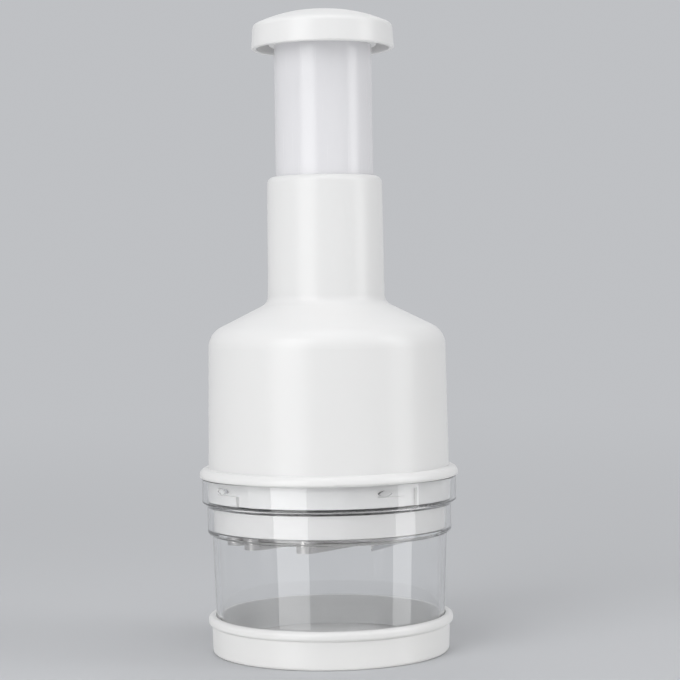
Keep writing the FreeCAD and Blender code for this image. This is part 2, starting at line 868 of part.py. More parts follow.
def main():
    """Builds each piece and writes it to its own file."""
    os.makedirs("parts", exist_ok=True)
    makers = [
        base_cup, chopping_chamber, bayonet_ring, housing, neck_bush, spring_plate, plate_screws,
        bumper_ring, ratchet_ring, drive_nut, nut_spring, nut_cap, return_spring, stem_tube, stop_ring,
        stem_plug, spindle_bush, knob_cap, spindle, spindle_washer, spindle_screw, hub_screws, blade_hub,
        zigzag_blade, wiper_disc]
    for maker in makers:
        shape = maker()
        shape.exportStep("parts/" + maker.__name__ + ".step")
        print(maker.__name__, len(shape.Solids), round(shape.Volume, 1), shape.isValid())


main()
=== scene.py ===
# %% [markdown]
# # A plunger food chopper
#
# The object is a kitchen chopper. A clear chamber stands in a white cup, a bottle-shaped housing locks on the
# chamber, and a domed knob on a stem pushes a zigzag blade down to the cup's floor. The construction comes in
# as a fixed frame of named pieces at their real size. This file gives each piece its finish. It also makes
# again the pieces that a short rule describes better than a solid does: the blade strip, the two coils and
# the screws.

# %% Load the construction
import json
import math

import bpy
from mathutils import Matrix, Vector


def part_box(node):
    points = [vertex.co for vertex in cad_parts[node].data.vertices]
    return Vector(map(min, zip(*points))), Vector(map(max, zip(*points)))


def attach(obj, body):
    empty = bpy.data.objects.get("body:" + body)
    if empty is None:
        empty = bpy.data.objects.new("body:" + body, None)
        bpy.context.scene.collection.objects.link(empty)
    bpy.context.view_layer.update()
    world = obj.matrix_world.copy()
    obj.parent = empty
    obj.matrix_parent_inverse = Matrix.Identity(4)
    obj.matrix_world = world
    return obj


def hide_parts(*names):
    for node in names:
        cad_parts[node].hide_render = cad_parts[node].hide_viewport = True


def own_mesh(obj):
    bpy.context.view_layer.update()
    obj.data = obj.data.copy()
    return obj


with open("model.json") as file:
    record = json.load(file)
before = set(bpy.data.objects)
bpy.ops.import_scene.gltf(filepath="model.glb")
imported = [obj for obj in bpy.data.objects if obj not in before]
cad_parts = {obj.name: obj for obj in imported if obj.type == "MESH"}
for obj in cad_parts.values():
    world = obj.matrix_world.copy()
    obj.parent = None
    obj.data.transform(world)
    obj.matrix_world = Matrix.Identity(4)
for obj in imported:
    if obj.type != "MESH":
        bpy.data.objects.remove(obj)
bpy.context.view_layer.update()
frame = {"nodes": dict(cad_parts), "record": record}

print("pieces in the frame:", len(frame["nodes"]))

# %% [markdown]
# ## Sizes
#
# Everything is in metres, so small sizes are easier to read as a number of millimetres times `mm`. Sizes that
# the frame can give are measured on it, and the rest are the maker's own numbers for the pieces that are made
# here.

# %% Measures
mm = 0.001
scene = bpy.context.scene
rng_seed = 7


def new_object(name, data):
    """An object in the scene."""
    made = bpy.data.objects.new(name, data)
    scene.collection.objects.link(made)
    return made


def low(node):
    """The lowest point of a CAD piece."""
    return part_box(node)[0].z


def high(node):
    """The highest point of a CAD piece."""
    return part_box(node)[1].z


def reach(node):
    """The outer radius of a round CAD piece."""
    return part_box(node)[1].x


for node in ("base_cup", "chopping_chamber", "housing", "stem_tube", "knob_cap"):
    bottom, top, radius = (round(size / mm, 1) for size in (low(node), high(node), reach(node)))
    print(node, "from", bottom, "to", top, "radius", radius)

# %% [markdown]
# ## The camera
#
# The chopper is seen from the front through a long lens, which keeps its sides almost parallel. The eye is at
# half its height: above the cup, so that the cup's rim opens as an ellipse, and below the knob, so that the
# knob's underside shows. It stands a little left of the middle and leans slightly, and the camera is turned
# and rolled by as much, because the chopper itself has to stand straight in its frame.

# %% Camera
picture_width = 680
focal_length_in_pixels = 1950.0
eye_distance = 718 * mm
eye_height = 131.4 * mm
pitch_down = math.radians(1.38)
yaw_right = math.radians(0.385)
roll = math.radians(-0.85)

camera_data = bpy.data.cameras.new("camera")
camera_data.sensor_width = 36.0
camera_data.lens = focal_length_in_pixels / picture_width * camera_data.sensor_width
camera_data.dof.use_dof = False
camera = new_object("camera", camera_data)
camera.location = (0.0, -eye_distance, eye_height)
turned_right = Matrix.Rotation(-yaw_right, 3, "Z")
levelled = Matrix.Rotation(math.pi / 2 - pitch_down, 3, "X")
camera.rotation_euler = (turned_right @ levelled @ Matrix.Rotation(roll, 3, "Z")).to_euler()
scene.camera = camera
scene.view_settings.view_transform = "Standard"
print("lens in mm:", round(camera_data.lens, 1))

# %% [markdown]
# ## Building node trees in a script
#
# Shader trees and Geometry Nodes trees are both made of nodes, wires and default values. One helper adds a
# node, sets its options and connects its inputs, so that a tree reads from top to bottom like a recipe. The
# small ones after it stand for the nodes that nearly every tree needs.

# %% Node helpers
def add(tree, kind, wires=None, **options):
    """Adds a node. Each wire is an input's name or number, with a socket to connect or a value to set."""
    made = tree.nodes.new(kind)
    for name, value in options.items():
        setattr(made, name, value)
    for key, value in (wires or {}).items():
        if isinstance(value, bpy.types.NodeSocket):
            tree.links.new(value, made.inputs[key])
        else:
            made.inputs[key].default_value = value
    return made


def calc(tree, operation, *values):
    """The result of one Math node."""
    return add(tree, "ShaderNodeMath", dict(enumerate(values)), operation=operation).outputs[0]


def object_position(tree):
    """A point's place in metres, which rides with its piece."""
    return add(tree, "ShaderNodeTexCoord").outputs["Object"]


def split(tree, vector):
    """The X, Y and Z of a vector, by name."""
    return add(tree, "ShaderNodeSeparateXYZ", {0: vector}).outputs


def join(tree, **axes):
    """A vector from some of X, Y and Z. What isn't given is 0."""
    return add(tree, "ShaderNodeCombineXYZ", axes).outputs[0]


def noise(tree, place, scale, detail, **more):
    """The value of a noise texture."""
    return add(
        tree, "ShaderNodeTexNoise", {"Vector": place, "Scale": scale, "Detail": detail, **more}).outputs[0]


def tinted(tree, colour, factor):
    """A colour times a number."""
    return add(tree, "ShaderNodeVectorMath", {0: colour, "Scale": factor}, operation="SCALE").outputs[0]


def new_tree(name, kind, inputs, outputs):
    """A node group with named inputs and outputs, and its two end nodes."""
    tree = bpy.data.node_groups.new(name, kind)
    for label, socket, value in inputs:
        made = tree.interface.new_socket(label, in_out="INPUT", socket_type=socket)
        if value is not None:
            made.default_value = value
    for label, socket in outputs:
        tree.interface.new_socket(label, in_out="OUTPUT", socket_type=socket)
    return tree, tree.nodes.new("NodeGroupInput"), tree.nodes.new("NodeGroupOutput")


def finish_tree(tree, leave, results):
    """Connects a group's outputs by name."""
    for label, socket in results.items():
        tree.links.new(socket, leave.inputs[label])
    return tree


print("helpers ready")

# %% [markdown]
# ## Floor and background
#
# The floor is a wide sheet of pale paper. A hard horizon behind a white object would draw a line through it,
# so the paper fades into the colour of the background, evenly as the eye sees it. The background is one pale
# grey that the camera, mirrors and clear plastic all look at. What lights dull surfaces is set apart from it,
# as a plain white light with a strength of its own. The paper, too, is whiter for light that has bounced off
# something dull, because grey paper would leave the undersides of white plastic in a deep shade. The Mix node
# that joins the two has colour sockets whose names it uses for other kinds as well, so they go by number.

# %% Floor and world
backdrop_tone = (0.52, 0.53, 0.55, 1.0)
paper_tone = (0.54, 0.55, 0.57, 1.0)
bounce_tone = (0.84, 0.84, 0.83, 1.0)
ambient_strength = 0.33
floor_half_width = 6.0
fade_start = 0.80
fade_end = 0.33
fibre_scale = 900.0
fibre_depth = 0.05 * mm
colour_a, colour_b, colour_result = 6, 7, 2


def looked_at(tree):
    """1 for a ray from the camera, straight or by mirrors or clear plastic, and 0 after a dull surface."""
    path = add(tree, "ShaderNodeLightPath").outputs
    direct = calc(tree, "MAXIMUM", path["Is Camera Ray"], path["Is Glossy Ray"])
    direct = calc(tree, "MAXIMUM", direct, path["Is Transmission Ray"])
    return calc(tree, "MULTIPLY", direct, calc(tree, "LESS_THAN", path["Diffuse Depth"], 0.5))


def floor_paper():
    """Matt paper that fades into the background with its distance from the chopper."""
    material = bpy.data.materials.new("floor_paper")
    material.use_nodes = True
    tree = material.node_tree
    tree.nodes.clear()
    place = object_position(tree)
    distance = add(tree, "ShaderNodeVectorMath", {0: place}, operation="LENGTH").outputs["Value"]
    nearness = calc(tree, "DIVIDE", eye_distance, calc(tree, "ADD", distance, eye_distance))
    fade = add(
        tree, "ShaderNodeMapRange", {"Value": nearness, "From Min": fade_start, "From Max": fade_end},
        interpolation_type="SMOOTHSTEP").outputs["Result"]
    fibres = noise(tree, place, fibre_scale, 3.0)
    bump = add(tree, "ShaderNodeBump", {"Height": fibres, "Distance": fibre_depth, "Strength": 0.4})
    colour = add(
        tree, "ShaderNodeMix", {"Factor": looked_at(tree), colour_a: bounce_tone, colour_b: paper_tone},
        data_type="RGBA")
    paper = add(
        tree, "ShaderNodeBsdfPrincipled",
        {"Base Color": colour.outputs[colour_result], "Roughness": 0.9, "Normal": bump.outputs["Normal"],
         "Specular IOR Level": 0.2})
    far = add(tree, "ShaderNodeEmission", {"Color": backdrop_tone, "Strength": 1.0})
    mixed = add(tree, "ShaderNodeMixShader", {0: fade, 1: paper.outputs[0], 2: far.outputs[0]})
    add(tree, "ShaderNodeOutputMaterial", {"Surface": mixed.outputs[0]})
    return material


def make_floor():
    """A square sheet at z = 0. Mirrors look past it, at the lamps and the room."""
    side = floor_half_width
    mesh = bpy.data.meshes.new("floor")
    corners = [(-side, -side, 0), (side, -side, 0), (side, side, 0), (-side, side, 0)]
    mesh.from_pydata(corners, [], [(0, 1, 2, 3)])
    mesh.materials.append(floor_paper())
    floor = new_object("floor", mesh)
    floor.visible_glossy = False


def make_world():
    """Pale grey for whatever looks at it, and plain white light for whatever it lights."""
    world = bpy.data.worlds.new("studio")
    scene.world = world
    world.use_nodes = True
    tree = world.node_tree
    tree.nodes.clear()
    light = add(tree, "ShaderNodeBackground", {"Color": (1.0, 1.0, 1.0, 1.0), "Strength": ambient_strength})
    view = add(tree, "ShaderNodeBackground", {"Color": backdrop_tone, "Strength": 1.0})
    mixed = add(tree, "ShaderNodeMixShader", {0: looked_at(tree), 1: light.outputs[0], 2: view.outputs[0]})
    add(tree, "ShaderNodeOutputWorld", {"Surface": mixed.outputs[0]})


make_floor()
make_world()
print("floor and world made, ambient light", ambient_strength)

# %% [markdown]
# ## Studio light
#
# White plastic is drawn by large soft lamps. A broad softbox in front on the left and a narrower one on the
# right leave two upright bands of light on every round wall, and the clear chamber shows them best. They
# reach below the table, because a wall that is seen from above mirrors what lies lower. The third lamp hangs
# above and brightens the dome and the shoulder, and the fourth stands behind and draws a light edge along
# both outlines. These two only give light and are kept out of mirrors, where they would be spots and lines.
# More lamps than that do harm: each one takes a share of the few light samples that find their way through
# the clear wall.
#
# Each lamp is placed by its angle round the chopper, where 0 is the camera's side and positive angles go to
# the right. Heights, distances and sizes are in metres, and the power is in watts.

# %% Lamps
aim = Vector((0.0, 0.0, 110 * mm))


def softbox(name, angle, height, distance, width, tall, power, mirrored=True):
    """A rectangular lamp that faces the chopper."""
    data = bpy.data.lights.new(name, "AREA")
    data.shape = "RECTANGLE"
    data.size = width
    data.size_y = tall
    data.energy = power
    lamp = new_object(name, data)
    turn = math.radians(angle)
    lamp.location = (distance * math.sin(turn), -distance * math.cos(turn), height)
    lamp.rotation_euler = (aim - lamp.location).to_track_quat("-Z", "Y").to_euler()
    lamp.visible_camera = False
    lamp.visible_glossy = mirrored
    lamp.visible_transmission = mirrored


softbox("key_softbox", angle=-36, height=0.30, distance=1.10, width=0.68, tall=1.90, power=10.8)
softbox("fill_softbox", angle=74, height=0.25, distance=1.10, width=0.46, tall=1.80, power=6.2)
softbox(
    "top_softbox", angle=0, height=1.30, distance=0.25, width=0.80, tall=0.80, power=5.2, mirrored=False)
softbox(
    "back_softbox", angle=180, height=1.00, distance=1.20, width=1.60, tall=0.80, power=5.5, mirrored=False)

# %% [markdown]
# ## Moulded plastic
#
# Every plastic piece here came out of a steel mould. Its skin has a fine even grain from the mould, a slow
# waviness where the plastic shrank, and gloss that changes a little where hands touch it. All three are
# height or gloss, and only a trace of cloudiness is colour. They belong to many materials, so they are one
# node group.

# %% Group: moulded skin
shrinkage_scale = 55.0
clouding_scale = 24.0
handling_scale = 95.0


def make_moulded_skin():
    """Grain, shrinkage and handling marks, from a position in metres. Height is in metres too."""
    tree, enter, leave = new_tree(
        "moulded_skin", "ShaderNodeTree",
        [("Position", "NodeSocketVector", None),
         ("Colour", "NodeSocketColor", (0.8, 0.8, 0.8, 1.0)),
         ("Roughness", "NodeSocketFloat", 0.3),
         ("Grain Size", "NodeSocketFloat", 0.0005),
         ("Grain Depth", "NodeSocketFloat", 0.000002),
         ("Shrinkage", "NodeSocketFloat", 0.00001),
         ("Clouding", "NodeSocketFloat", 0.03),
         ("Handling", "NodeSocketFloat", 0.06)],
        [("Colour", "NodeSocketColor"), ("Roughness", "NodeSocketFloat"), ("Height", "NodeSocketFloat")])
    given = enter.outputs
    place = given["Position"]
    grain_scale = calc(tree, "DIVIDE", 1.0, given["Grain Size"])
    grain = noise(tree, place, grain_scale, 2.0)
    wave = noise(tree, place, shrinkage_scale, 1.0)
    cloud = noise(tree, place, clouding_scale, 4.0, Roughness=0.55)
    touch = noise(tree, place, handling_scale, 5.0, Roughness=0.62, Distortion=0.8)
    shade = calc(tree, "SUBTRACT", 1.0, calc(tree, "MULTIPLY", cloud, given["Clouding"]))
    colour = tinted(tree, given["Colour"], shade)
    worn = calc(tree, "MULTIPLY", calc(tree, "SUBTRACT", touch, 0.5), given["Handling"])
    roughness = calc(tree, "ADD", given["Roughness"], worn)
    height = calc(
        tree, "ADD", calc(tree, "MULTIPLY", grain, given["Grain Depth"]),
        calc(tree, "MULTIPLY", wave, given["Shrinkage"]))
    return finish_tree(tree, leave, {"Colour": colour, "Roughness": roughness, "Height": height})


moulded_skin = make_moulded_skin()
print(moulded_skin.name, [s.name for s in moulded_skin.interface.items_tree if s.in_out == "INPUT"])

# %% [markdown]
# ## Rubbing marks
#
# Round pieces that turn or slide in each other get hair-fine scuffs: round the axis where they are wiped or
# twisted, and along it where they slide. The group unrolls a point into the distance round the axis and the
# height, stretches a noise along one of them about a hundred times, and keeps only its thinnest peaks.

# %% Group: rubbing marks
mark_stretch = 26.0
mark_fineness_round = 2600.0
mark_fineness_along = 2100.0
mark_threshold = 0.78
mark_threshold_drop = 0.18
mark_softness = 0.06


def make_rubbing_marks():
    """A mask of fine lines round or along the Z axis."""
    tree, enter, leave = new_tree(
        "rubbing_marks", "ShaderNodeTree",
        [("Position", "NodeSocketVector", None),
         ("Radius", "NodeSocketFloat", 0.04),
         ("Round", "NodeSocketFloat", 1.0),
         ("Amount", "NodeSocketFloat", 0.5)],
        [("Mask", "NodeSocketFloat")])
    given = enter.outputs
    axes = split(tree, given["Position"])
    turn = calc(tree, "ARCTAN2", axes["Y"], axes["X"])
    unrolled = calc(tree, "MULTIPLY", turn, given["Radius"])
    drop = calc(tree, "MULTIPLY", given["Amount"], mark_threshold_drop)
    threshold = calc(tree, "SUBTRACT", mark_threshold, drop)
    full = calc(tree, "ADD", threshold, mark_softness)
    lines = []
    for along, across, fineness in (
            (unrolled, axes["Z"], mark_fineness_round), (axes["Z"], unrolled, mark_fineness_along)):
        stretched = join(
            tree, X=calc(tree, "MULTIPLY", along, mark_stretch), Y=calc(tree, "MULTIPLY", across, fineness))
        peaks = noise(tree, stretched, 1.0, 3.0)
        lines.append(add(
            tree, "ShaderNodeMapRange", {"Value": peaks, "From Min": threshold, "From Max": full}).outputs[0])
    mixed = add(
        tree, "ShaderNodeMix", {"Factor": given["Round"], "A": lines[1], "B": lines[0]},
        data_type="FLOAT", clamp_factor=True)
    return finish_tree(tree, leave, {"Mask": mixed.outputs[0]})


rubbing_marks = make_rubbing_marks()
print(rubbing_marks.name, "made")

# %% [markdown]
# ## Worked steel
#
# Rolled strip, drawn wire and turned bar all carry fine parallel lines in the direction in which they were
# worked. The group takes a point whose X runs along the work, so one group serves a strip, a wire and a bar.
# Broad soft patches from handling and heat are laid under the lines.

# %% Group: worked steel
line_stretch = 60.0
patch_scale = 120.0
line_tone = 0.16
line_gloss = 0.2


def make_worked_steel():
    """Parallel working lines and soft patches."""
    tree, enter, leave = new_tree(
        "worked_steel", "ShaderNodeTree",
        [("Position", "NodeSocketVector", None),
         ("Colour", "NodeSocketColor", (0.6, 0.6, 0.6, 1.0)),
         ("Roughness", "NodeSocketFloat", 0.25),
         ("Lines per Metre", "NodeSocketFloat", 6000.0),
         ("Line Depth", "NodeSocketFloat", 0.000002),
         ("Patchiness", "NodeSocketFloat", 0.1)],
        [("Colour", "NodeSocketColor"), ("Roughness", "NodeSocketFloat"), ("Height", "NodeSocketFloat")])
    given = enter.outputs
    axes = split(tree, given["Position"])
    stretched = join(
        tree, X=calc(tree, "MULTIPLY", axes["X"], line_stretch),
        Y=calc(tree, "MULTIPLY", axes["Y"], given["Lines per Metre"]),
        Z=calc(tree, "MULTIPLY", axes["Z"], given["Lines per Metre"]))
    line = noise(tree, stretched, 1.0, 3.0)
    centred_line = calc(tree, "SUBTRACT", line, 0.5)
    centred_patch = calc(tree, "SUBTRACT", noise(tree, given["Position"], patch_scale, 3.0), 0.5)
    patches = calc(tree, "MULTIPLY", centred_patch, given["Patchiness"])
    tone = calc(tree, "ADD", 1.0, patches)
    tone = calc(tree, "ADD", tone, calc(tree, "MULTIPLY", centred_line, line_tone))
    colour = tinted(tree, given["Colour"], tone)
    roughness = calc(tree, "ADD", given["Roughness"], patches)
    roughness = calc(tree, "ADD", roughness, calc(tree, "MULTIPLY", centred_line, line_gloss))
    height = calc(tree, "MULTIPLY", line, given["Line Depth"])
    return finish_tree(tree, leave, {"Colour": colour, "Roughness": roughness, "Height": height})


worked_steel = make_worked_steel()
print(worked_steel.name, "made")

# %% [markdown]
# ## From groups to materials
#
# A material holds its own Principled shader. The group's colour, roughness and height go into it, the height
# through a Bump node whose distance is one metre, because the heights are real ones. What is the same all
# over a surface, such as its index of refraction, is set on the shader's own socket. Rubbing marks come on
# top of a finished material, as more roughness where a mark is.

# %% Material helpers
finishes = {}


def new_material(name, group, values, shader_values, position=object_position):
    """A material whose surface comes from one of the groups, kept in finishes by its name."""
    material = bpy.data.materials.new(name)
    material.use_nodes = True
    tree = material.node_tree
    tree.nodes.clear()
    surface = add(tree, "ShaderNodeGroup", {"Position": position(tree), **values}, node_tree=group)
    bump = add(tree, "ShaderNodeBump", {"Height": surface.outputs["Height"], "Distance": 1.0})
    shader = add(
        tree, "ShaderNodeBsdfPrincipled",
        {"Base Color": surface.outputs["Colour"], "Roughness": surface.outputs["Roughness"],
         "Normal": bump.outputs["Normal"], **shader_values})
    add(tree, "ShaderNodeOutputMaterial", {"Surface": shader.outputs[0]})
    finishes[name] = material


def rub(name, radius, round_share, amount, gloss_loss):
    """Adds rubbing marks to a finished material."""
    tree = finishes[name].node_tree
    marks = add(
        tree, "ShaderNodeGroup",
        {"Position": object_position(tree), "Radius": radius, "Round": round_share, "Amount": amount},
        node_tree=rubbing_marks)
    rougher = calc(tree, "MULTIPLY", marks.outputs["Mask"], gloss_loss)
    total = calc(tree, "ADD", tree.nodes["Group"].outputs["Roughness"], rougher)
    tree.links.new(total, tree.nodes["Principled BSDF"].inputs["Roughness"])


print("material helpers ready")

# %% [markdown]
# ## White plastic
#
# The cup, the housing, its ring and the knob are one white, glossy enough to show the lamps as soft bands. It
# is not pure white: real white plastic reflects about four fifths of the light, and what is brighter would
# lose its shading. The disc under the housing and the blade's hub are the same plastic with a duller skin,
# because nobody is meant to look at them.

# %% White plastics
new_material(
    "white_plastic", moulded_skin,
    {"Colour": (0.83, 0.83, 0.83, 1.0), "Roughness": 0.30, "Grain Size": 0.0006, "Grain Depth": 0.0000012,
     "Shrinkage": 0.000012, "Clouding": 0.03, "Handling": 0.07},
    {"IOR": 1.52})
new_material(
    "disc_plastic", moulded_skin,
    {"Colour": (0.80, 0.795, 0.795, 1.0), "Roughness": 0.42, "Grain Size": 0.0005, "Grain Depth": 0.000003,
     "Shrinkage": 0.000014, "Clouding": 0.04, "Handling": 0.05},
    {"IOR": 1.50})
new_material(
    "hub_plastic", moulded_skin,
    {"Colour": (0.77, 0.765, 0.755, 1.0), "Roughness": 0.48, "Grain Size": 0.0005, "Grain Depth": 0.000004,
     "Shrinkage": 0.00002, "Clouding": 0.05, "Handling": 0.04},
    {"IOR": 1.50})
print("white finishes:", sorted(finishes))

# %% [markdown]
# ## The stem
#
# The stem is a tube of a cooler, slightly bluish white, and glossier than the housing because it slides in
# the neck. The slide has left fine upright rubbing marks, which only show as a change of gloss.

# %% Stem plastic
new_material(
    "stem_plastic", moulded_skin,
    {"Colour": (0.79, 0.787, 0.812, 1.0), "Roughness": 0.22, "Grain Size": 0.0008,
     "Grain Depth": 0.0000008, "Shrinkage": 0.00001, "Clouding": 0.02, "Handling": 0.05},
    {"IOR": 1.53})
rub("stem_plastic", radius=17.9 * mm, round_share=0.0, amount=0.7, gloss_loss=0.2)
print("stem finish made")

# %% [markdown]
# ## Clear plastic
#
# The chamber is a hard, glass-clear moulding. Its solid has a real wall, so light bends at both faces and the
# edges of the wall and collar darken and brighten by themselves. Light that has to find its way through such
# a wall to the white cup would leave it noisy and dark, so lamps shine straight through: the surface is plain
# transparent to shadow rays. Wiping leaves faint scuffs round the wall.

# %% Clear plastic
def open_to_shadows(name, tint):
    """Lets lamps shine straight through a material, with a trace of its colour."""
    tree = finishes[name].node_tree
    shadow = add(tree, "ShaderNodeLightPath").outputs["Is Shadow Ray"]
    solid = tree.nodes["Principled BSDF"].outputs[0]
    open_way = add(tree, "ShaderNodeBsdfTransparent", {"Color": tint}).outputs[0]
    mixed = add(tree, "ShaderNodeMixShader", {0: shadow, 1: solid, 2: open_way}).outputs[0]
    tree.links.new(mixed, tree.nodes["Material Output"].inputs["Surface"])


new_material(
    "clear_plastic", moulded_skin,
    {"Colour": (0.985, 0.988, 0.99, 1.0), "Roughness": 0.03, "Grain Size": 0.003, "Grain Depth": 0.000001,
     "Shrinkage": 0.000006, "Clouding": 0.01, "Handling": 0.02},
    {"IOR": 1.57, "Transmission Weight": 1.0})
rub("clear_plastic", radius=43.0 * mm, round_share=0.8, amount=0.35, gloss_loss=0.12)
open_to_shadows("clear_plastic", (0.985, 0.987, 0.99, 1.0))
print("clear finish made")

# %% [markdown]
# ## Hidden plastics and rubber
#
# Bushes, nut, plate and stop ring are of a slippery, waxy engineering plastic in its natural colour. The
# bumper is black rubber. They show when the chopper is taken apart, so they are finished as carefully.

# %% Bearing plastic and rubber
new_material(
    "bearing_plastic", moulded_skin,
    {"Colour": (0.72, 0.70, 0.66, 1.0), "Roughness": 0.44, "Grain Size": 0.0004, "Grain Depth": 0.000004,
     "Shrinkage": 0.00002, "Clouding": 0.08, "Handling": 0.08},
    {"IOR": 1.48})
new_material(
    "soft_ring", moulded_skin,
    {"Colour": (0.035, 0.035, 0.037, 1.0), "Roughness": 0.72, "Grain Size": 0.00035, "Grain Depth": 0.00001,
     "Shrinkage": 0.00002, "Clouding": 0.3, "Handling": 0.12},
    {"IOR": 1.50})
print("hidden plastics made")

# %% [markdown]
# ## Steels
#
# The blade is rolled stainless strip, so its lines run along the strip through every bend. That needs a
# position that follows the strip: the blade's mesh carries its distance along the strip as an attribute, and
# the material joins it with the height. The ground edge is brighter, and its lines cross it. Screws and
# spindle are turned, so their lines run round the axis. Spring wire is drawn, and in a coil that is round the
# axis too.

# %% Steel finishes
turned_radius = 5 * mm


def strip_measures(tree):
    """A point's distance along the strip and its height."""
    run = add(tree, "ShaderNodeAttribute", attribute_name="along").outputs["Fac"]
    return run, split(tree, object_position(tree))["Z"]


def along_the_strip(tree):
    """Distance along the strip as X and height as Y."""
    run, height = strip_measures(tree)
    return join(tree, X=run, Y=height)


def across_the_strip(tree):
    """Height as X and distance along the strip as Y."""
    run, height = strip_measures(tree)
    return join(tree, X=height, Y=run)


def round_the_axis(tree):
    """The turn about Z as X, the radius as Y and the height as Z."""
    axes = split(tree, object_position(tree))
    turn = calc(tree, "MULTIPLY", calc(tree, "ARCTAN2", axes["Y"], axes["X"]), turned_radius)
    flat = join(tree, X=axes["X"], Y=axes["Y"])
    radius = add(tree, "ShaderNodeVectorMath", {0: flat}, operation="LENGTH").outputs["Value"]
    return join(tree, X=turn, Y=radius, Z=axes["Z"])


new_material(
    "blade_steel", worked_steel,
    {"Colour": (0.60, 0.585, 0.57, 1.0), "Roughness": 0.22, "Lines per Metre": 9000.0,
     "Line Depth": 0.0000012, "Patchiness": 0.18},
    {"Metallic": 1.0}, along_the_strip)
new_material(
    "ground_steel", worked_steel,
    {"Colour": (0.74, 0.74, 0.75, 1.0), "Roughness": 0.18, "Lines per Metre": 7000.0, "Line Depth": 0.0000025,
     "Patchiness": 0.04},
    {"Metallic": 1.0}, across_the_strip)
new_material(
    "spring_steel", worked_steel,
    {"Colour": (0.55, 0.55, 0.56, 1.0), "Roughness": 0.26, "Lines per Metre": 5000.0, "Line Depth": 0.000001,
     "Patchiness": 0.12},
    {"Metallic": 1.0}, round_the_axis)
new_material(
    "screw_steel", worked_steel,
    {"Colour": (0.60, 0.61, 0.63, 1.0), "Roughness": 0.28, "Lines per Metre": 8000.0, "Line Depth": 0.0000015,
     "Patchiness": 0.16},
    {"Metallic": 1.0}, round_the_axis)
print("finishes:", len(finishes))

# %% [markdown]
# ## Finishing the CAD pieces
#
# The frame's record says which material slot each piece has. A piece whose shape is right keeps its mesh, and
# only its material is changed here.

# %% Dress the frame
for part in frame["record"]["subparts"]:
    piece = frame["nodes"][part["node"]]
    piece.data.materials.clear()
    piece.data.materials.append(finishes[part["material_slot"]])

# %% [markdown]
# ## Geometry Nodes on wires
#
# A strip, a coil and a set of screws all start from something tiny: a chain of points. A small object holds
# the points, a modifier with a node tree grows the piece on them, and the grown result becomes one plain mesh
# without the modifier, so that the piece can ride on its body like any other.

# %% Wire and modifier helpers
def wire_object(name, points, closed=False):
    """An object whose mesh is a chain of points."""
    edges = [(i, i + 1) for i in range(len(points) - 1)]
    if closed:
        edges.append((len(points) - 1, 0))
    mesh = bpy.data.meshes.new(name)
    mesh.from_pydata(points, edges, [])
    return new_object(name, mesh)


def keep_result(piece):
    """Makes what the modifiers of an object give its plain mesh."""
    graph = bpy.context.evaluated_depsgraph_get()
    mesh = bpy.data.meshes.new_from_object(
        piece.evaluated_get(graph), preserve_all_data_layers=True, depsgraph=graph)
    mesh.name = piece.name
    piece.modifiers.clear()
    piece.data = mesh


def grow(piece, tree, values):
    """Runs a Geometry Nodes tree on an object and keeps the result."""
    modifier = piece.modifiers.new(tree.name, "NODES")
    modifier.node_group = tree
    for label, value in values.items():
        modifier[tree.interface.items_tree[label].identifier] = value
    keep_result(piece)


def settle(piece, body, slot, *stands_for):
    """Puts a finished piece on its body in place of CAD pieces."""
    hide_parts(*stands_for)
    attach(piece, body)
    corners = [Vector(c) for c in piece.bound_box]
    spans = [[round(f(c[i] for c in corners) / mm, 2) for i in range(3)] for f in (min, max)]
    print(piece.name, len(piece.data.polygons), "faces, box in mm", spans)


GEOMETRY = ("Geometry", "NodeSocketGeometry", None)
print("wire helpers ready")

# %% [markdown]
# ## The blade's route
#
# The blade is one strip of steel on edge, bent into a zigzag of seven legs. The outsides of all its bends
# touch one circle, just inside the chamber's wall, which is what lets so much edge chop at once. The rule is
# short: bend centres sit on that circle less the bend's radius, at three chosen distances from the middle
# line, and the other half of the zigzag is the first half turned by 180 degrees. Legs are the tangents
# between bends.

# %% Route
strip_thickness = 0.9 * mm
strip_bend_radius = 3.5 * mm
bend_offsets = [25.0 * mm, 9.6 * mm, 12.0 * mm]
end_offset = 29.1 * mm
end_inset = 2.0 * mm
hub_overhang = 1.5 * mm
rest_angle = math.radians(-30.0)
bend_steps = 18
blade_reach = reach("blade_hub") - hub_overhang


def zigzag_stops():
    """Free ends and bend centres, as (point, signed radius of the middle line)."""
    middle_radius = strip_bend_radius - strip_thickness / 2
    end_circle = blade_reach - end_inset
    centre_circle = blade_reach - strip_bend_radius
    free_end = Vector((end_offset, -math.sqrt(end_circle ** 2 - end_offset ** 2)))
    half = [(free_end, 0.0)]
    side = 1
    for offset in bend_offsets:
        centre = Vector((offset, side * math.sqrt(centre_circle ** 2 - offset ** 2)))
        half.append((centre, middle_radius * side))
        side = -side
    return half + [(-point, -bend) for point, bend in reversed(half)]


def zigzag_points():
    """The strip's middle line: tangent legs joined by arcs."""
    stops = zigzag_stops()
    headings = []
    for (start, start_bend), (end, end_bend) in zip(stops, stops[1:]):
        line = end - start
        lean = math.asin((end_bend - start_bend) / line.length)
        headings.append(math.atan2(line.y, line.x) - lean)
    points = [stops[0][0]]
    for (centre, bend), before, after in zip(stops[1:-1], headings, headings[1:]):
        turn = math.copysign((after - before if bend > 0 else before - after) % (2 * math.pi), bend)
        for step in range(bend_steps + 1):
            heading = before + turn * step / bend_steps
            left = Vector((-math.sin(heading), math.cos(heading)))
            points.append(centre - left * bend)
    points.append(stops[-1][0])
    return [Matrix.Rotation(rest_angle, 2) @ point for point in points]


route = zigzag_points()
run = sum((b - a).length for a, b in zip(route, route[1:]))
print("blade route:", len(route), "points,", round(run / mm, 1), "mm of strip")

